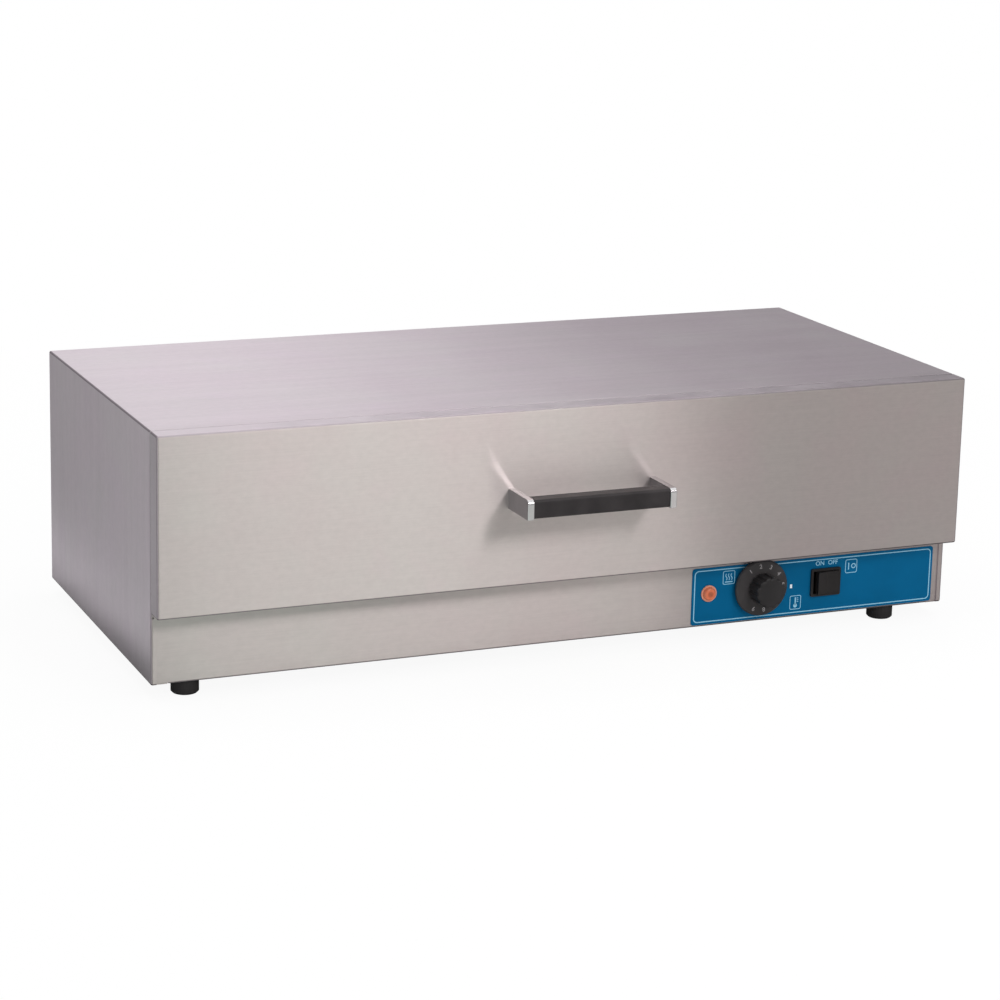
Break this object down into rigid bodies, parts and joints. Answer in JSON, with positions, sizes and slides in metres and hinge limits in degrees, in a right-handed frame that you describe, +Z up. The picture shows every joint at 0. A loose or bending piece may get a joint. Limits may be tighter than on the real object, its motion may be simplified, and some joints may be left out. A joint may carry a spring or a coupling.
{
  "type": "countertop warming drawer",
  "caption": "Low stainless countertop cabinet with one full-width heated drawer on ball slides, a bar handle, rubber feet and a front control panel with dial, switch and pilot light.",
  "frame": {"origin": "under the middle of the whole object's box, on the surface it stands on", "axes": "+X to the right as the user faces the drawer, +Y to the rear, +Z up"},
  "size_m": [0.762, 0.4084, 0.231],
  "materials": {
    "brushed_stainless": "brushed along the width",
    "liner_stainless": "mill finish",
    "pan_stainless": "satin, deep drawn",
    "galvanised": "galvanised, spangled",
    "slide_zinc": "bright zinc plated",
    "bearing_steel": "polished balls in a pressed cage",
    "zinc_steel": "zinc plated fasteners",
    "handle_chrome": "bright plated",
    "grip_black": "satin black moulding",
    "black_plastic": "black moulding with pale numbers",
    "switch_black": "black moulding",
    "gland_black": "black nylon",
    "orange_lens": "translucent orange",
    "nylon_white": "natural nylon",
    "blue_label": "printed film, satin",
    "rubber_black": "moulded rubber",
    "silicone_seal": "grey silicone strip",
    "glass_wool": "glass wool blanket",
    "element_sheath": "heat darkened nickel alloy tube",
    "ceramic_white": "glazed bead on a steel pin",
    "phenolic_black": "phenolic",
    "copper_tube": "bare copper",
    "brass_parts": "plain brass",
    "wire_insulation": "heat proof sleeving"
  },
  "bodies": {
    "case": {"outer_wrap": "brushed_stainless", "rear_panel": "brushed_stainless", "front_fascia": "brushed_stainless", "label_overlay": "blue_label", "bottom_tray": "galvanised", "front_frame": "brushed_stainless", "cavity_liner": "liner_stainless", "insulation_over": "glass_wool", "insulation_rear": "glass_wool", "insulation_floor": "glass_wool", "heating_element": "element_sheath", "element_terminals": "ceramic_white", "element_supports": "galvanised", "heat_baffle": "liner_stainless", "high_limit_cutout": "phenolic_black", "thermostat_body": "galvanised", "thermostat_screws": "zinc_steel", "thermostat_capillary": "copper_tube", "bulb_clips": "galvanised", "pilot_light_lens": "orange_lens", "pilot_light_body": "nylon_white", "switch_housing": "switch_black", "terminal_block": "nylon_white", "ground_stud": "brass_parts", "cord_gland": "gland_black", "gland_locknut": "gland_black", "internal_wiring": "wire_insulation", "foot_screws": "zinc_steel", "case_screws": "zinc_steel", "foot_front_left": "rubber_black", "foot_front_right": "rubber_black", "foot_rear_left": "rubber_black", "foot_rear_right": "rubber_black", "slide_outer_left": "slide_zinc", "slide_outer_right": "slide_zinc"},
    "drawer": {"drawer_front_skin": "brushed_stainless", "drawer_inner_skin": "liner_stainless", "drawer_front_insulation": "glass_wool", "drawer_seal": "silicone_seal", "handle_grip": "grip_black", "handle_screws": "zinc_steel", "handle_end_left": "handle_chrome", "handle_end_right": "handle_chrome", "drawer_rail_left": "galvanised", "drawer_rail_right": "galvanised", "drawer_rear_rail": "galvanised", "food_pan": "pan_stainless", "drawer_screws": "zinc_steel", "slide_inner_left": "slide_zinc", "slide_inner_right": "slide_zinc"},
    "slide_middle_left": {"slide_middle_left": "slide_zinc"},
    "slide_middle_right": {"slide_middle_right": "slide_zinc"},
    "outer_bearing_left": {"slide_bearing_outer_left": "bearing_steel"},
    "outer_bearing_right": {"slide_bearing_outer_right": "bearing_steel"},
    "inner_bearing_left": {"slide_bearing_inner_left": "bearing_steel"},
    "inner_bearing_right": {"slide_bearing_inner_right": "bearing_steel"},
    "dial": {"dial_knob": "black_plastic", "thermostat_shaft": "zinc_steel"},
    "rocker": {"switch_rocker": "switch_black"}
  },
  "joints": [
    {"name": "drawer_slide", "type": "slide", "parent": "case", "child": "drawer", "axis": [0, -1, 0], "range_m": [0, 0.3]},
    {"name": "slide_middle_left_slide", "type": "slide", "parent": "case", "child": "slide_middle_left", "axis": [0, -1, 0], "range_m": [0, 0.15]},
    {"name": "outer_bearing_left_slide", "type": "slide", "parent": "case", "child": "outer_bearing_left", "axis": [0, -1, 0], "range_m": [0, 0.075]},
    {"name": "inner_bearing_left_slide", "type": "slide", "parent": "case", "child": "inner_bearing_left", "axis": [0, -1, 0], "range_m": [0, 0.225]},
    {"name": "slide_middle_right_slide", "type": "slide", "parent": "case", "child": "slide_middle_right", "axis": [0, -1, 0], "range_m": [0, 0.15]},
    {"name": "outer_bearing_right_slide", "type": "slide", "parent": "case", "child": "outer_bearing_right", "axis": [0, -1, 0], "range_m": [0, 0.075]},
    {"name": "inner_bearing_right_slide", "type": "slide", "parent": "case", "child": "inner_bearing_right", "axis": [0, -1, 0], "range_m": [0, 0.225]},
    {"name": "dial_turn", "type": "hinge", "parent": "case", "child": "dial", "pos_m": [0.1882, -0.14165, 0.046], "axis": [0, 1, 0], "range_deg": [-90, 210]},
    {"name": "rocker_tip", "type": "hinge", "parent": "case", "child": "rocker", "pos_m": [0.2565, -0.13925, 0.044], "axis": [0, 0, -1], "range_deg": [0, 16]}
  ],
  "couplings": [
    {"joint": "slide_middle_left_slide", "follows": "drawer_slide", "ratio": 0.5},
    {"joint": "outer_bearing_left_slide", "follows": "drawer_slide", "ratio": 0.25},
    {"joint": "inner_bearing_left_slide", "follows": "drawer_slide", "ratio": 0.75},
    {"joint": "slide_middle_right_slide", "follows": "drawer_slide", "ratio": 0.5},
    {"joint": "outer_bearing_right_slide", "follows": "drawer_slide", "ratio": 0.25},
    {"joint": "inner_bearing_right_slide", "follows": "drawer_slide", "ratio": 0.75}
  ]
}
